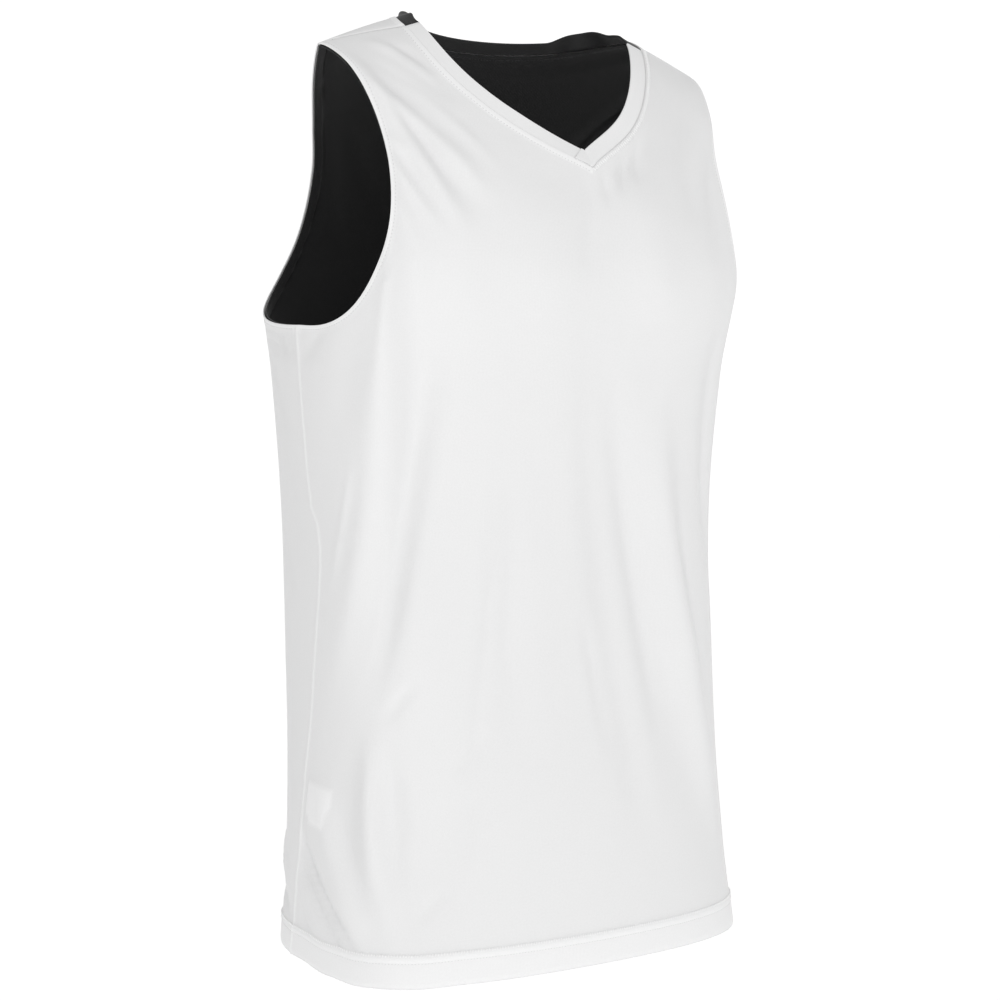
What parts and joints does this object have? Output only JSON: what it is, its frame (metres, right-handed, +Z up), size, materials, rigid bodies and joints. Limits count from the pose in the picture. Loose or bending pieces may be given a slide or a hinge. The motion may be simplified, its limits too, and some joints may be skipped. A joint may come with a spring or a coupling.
{
  "type": "basketball jersey",
  "caption": "Sleeveless V-necked sports jersey of two knit plies, standing filled out as when worn, with banded neck, open armholes and straight open hem.",
  "frame": {"origin": "on the line of the shoulders, midway between them, under the straps where the wearer carries the jersey", "axes": "+Z up along the body, -Y to the front of the jersey, +X to the wearer's left"},
  "size_m": [0.3994, 0.2722, 0.7666],
  "materials": {
    "white_knit": "fine white polyester jersey knit, matt with a soft sheen",
    "black_knit": "fine black polyester jersey knit, matt",
    "white_band": "white neckband of folded knit, smooth and matt",
    "black_band": "black neckband of folded knit, smooth and matt"
  },
  "bodies": {
    "root": {"front": "white_knit", "back": "white_knit", "front_lining": "black_knit", "back_lining": "black_knit", "collar_front_right": "white_band", "collar_front_left": "white_band", "collar_back": "black_band"}
  },
  "joints": []
}
